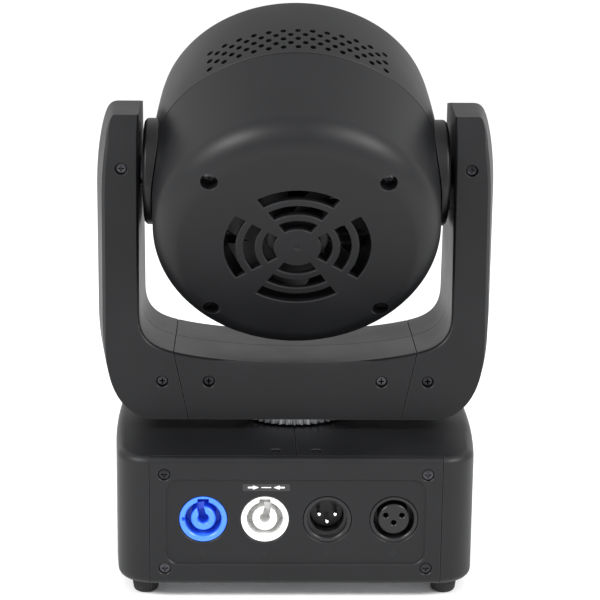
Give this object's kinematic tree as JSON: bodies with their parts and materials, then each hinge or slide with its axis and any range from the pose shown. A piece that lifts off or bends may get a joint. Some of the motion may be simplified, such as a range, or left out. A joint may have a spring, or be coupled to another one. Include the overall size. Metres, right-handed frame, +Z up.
{
  "type": "moving head light",
  "caption": "Compact moving head wash light: mains-fed base with rear sockets, panning yoke and tilting barrel head with fan-cooled LED lenses.",
  "frame": {"origin": "on the floor, below the middle of the whole light at rest; the pan axis stands 0.375 mm in front of it", "axes": "+Z up; -Y is the front (display and buttons), +Y the rear (sockets); X runs along the tilt axis, +X on the right seen from the front. The beam leaves towards -Y, 28.5 degrees above the horizontal"},
  "size_m": [0.2018, 0.1598, 0.2853],
  "materials": {
    "shell_black": "fine-textured moulded plastic, satin black",
    "button_rubber": "soft matt rubber",
    "foot_rubber": "matt rubber",
    "belt_rubber": "toothed timing belt",
    "screw_black": "black-oxide steel",
    "sheet_steel": "zinc-plated sheet steel",
    "motor_steel": "dark painted steel laminations",
    "bearing_chrome": "bright ground steel",
    "ring_chrome": "bright plated fluted ring",
    "aluminium": "bare machined aluminium",
    "circuit_board": "green solder mask",
    "led_board": "white solder mask",
    "socket_blue": "blue moulded socket",
    "socket_white": "white moulded socket",
    "pin_metal": "bright contact pins in a black insert",
    "display_black": "dark display window",
    "lens_clear": "clear moulded lenses",
    "fan_black": "black fan moulding"
  },
  "bodies": {
    "base": {"base_shell_left": "shell_black", "base_shell_right": "shell_black", "rear_panel": "shell_black", "front_panel": "shell_black", "base_plate": "sheet_steel", "foot_front_left": "foot_rubber", "foot_front_right": "foot_rubber", "foot_rear_left": "foot_rubber", "foot_rear_right": "foot_rubber", "rear_panel_screw_1": "screw_black", "rear_panel_screw_2": "screw_black", "rear_panel_screw_3": "screw_black", "rear_panel_screw_4": "screw_black", "power_inlet": "socket_blue", "power_outlet": "socket_white", "data_in_socket": "shell_black", "data_in_pins": "pin_metal", "data_out_socket": "shell_black", "display": "display_black", "control_board": "circuit_board", "power_supply": "circuit_board", "pan_motor": "motor_steel", "pan_bridge": "sheet_steel", "pan_bearing": "bearing_chrome", "pan_belt": "belt_rubber"},
    "yoke": {"yoke_frame": "sheet_steel", "yoke_centre_cover_front": "shell_black", "yoke_centre_cover_rear": "shell_black", "arm_cover_left_front": "shell_black", "arm_cover_right_front": "shell_black", "arm_cover_left_rear": "shell_black", "arm_cover_right_rear": "shell_black", "pan_shaft": "aluminium", "pan_pulley": "aluminium", "pan_ring": "ring_chrome", "tilt_motor": "motor_steel", "tilt_bearing_left": "bearing_chrome", "tilt_bearing_right": "bearing_chrome", "tilt_belt": "belt_rubber"},
    "head": {"head_cover_rear": "shell_black", "head_cover_front": "shell_black", "head_boss_left": "shell_black", "head_boss_right": "shell_black", "tilt_shaft_left": "bearing_chrome", "tilt_shaft_right": "bearing_chrome", "tilt_pulley": "aluminium", "head_frame": "sheet_steel", "heat_sink": "aluminium", "led_board": "led_board", "lens_plate": "lens_clear", "front_bezel": "shell_black", "fan_frame": "fan_black"},
    "fan": {"fan_rotor": "fan_black"},
    "pan_motor_rotor": {"pan_motor_pulley": "aluminium"},
    "tilt_motor_rotor": {"tilt_motor_pulley": "aluminium"},
    "menu_button": {"button_menu": "button_rubber"},
    "down_button": {"button_down": "button_rubber"},
    "up_button": {"button_up": "button_rubber"},
    "enter_button": {"button_enter": "button_rubber"}
  },
  "joints": [
    {"name": "pan", "type": "hinge", "parent": "base", "child": "yoke", "pos_m": [0, -0.00038, 0.0774], "axis": [0, 0, 1], "range_deg": [-270, 270]},
    {"name": "tilt", "type": "hinge", "parent": "yoke", "child": "head", "pos_m": [0, -0.00038, 0.2007], "axis": [1, 0, 0], "range_deg": [-171.5, 48.5]},
    {"name": "fan_spin", "type": "hinge", "parent": "head", "child": "fan", "pos_m": [0, -0.00038, 0.2007], "axis": [0, -0.8788, 0.4772], "continuous": true},
    {"name": "pan_motor_spin", "type": "hinge", "parent": "base", "child": "pan_motor_rotor", "pos_m": [-0.052, -0.00537, 0.054], "axis": [0, 0, 1], "range_deg": [-1080, 1080]},
    {"name": "tilt_motor_spin", "type": "hinge", "parent": "yoke", "child": "tilt_motor_rotor", "pos_m": [0.0865, -0.00038, 0.1], "axis": [1, 0, 0], "range_deg": [-562, 159]},
    {"name": "menu_press", "type": "slide", "parent": "base", "child": "menu_button", "axis": [0, 1, 0], "range_m": [0, 0.0012], "stiffness_N_per_m": 400},
    {"name": "down_press", "type": "slide", "parent": "base", "child": "down_button", "axis": [0, 1, 0], "range_m": [0, 0.0012], "stiffness_N_per_m": 400},
    {"name": "up_press", "type": "slide", "parent": "base", "child": "up_button", "axis": [0, 1, 0], "range_m": [0, 0.0012], "stiffness_N_per_m": 400},
    {"name": "enter_press", "type": "slide", "parent": "base", "child": "enter_button", "axis": [0, 1, 0], "range_m": [0, 0.0012], "stiffness_N_per_m": 400}
  ],
  "couplings": [
    {"joint": "pan_motor_spin", "follows": "pan", "ratio": 4},
    {"joint": "tilt_motor_spin", "follows": "tilt", "ratio": 3.2727}
  ]
}
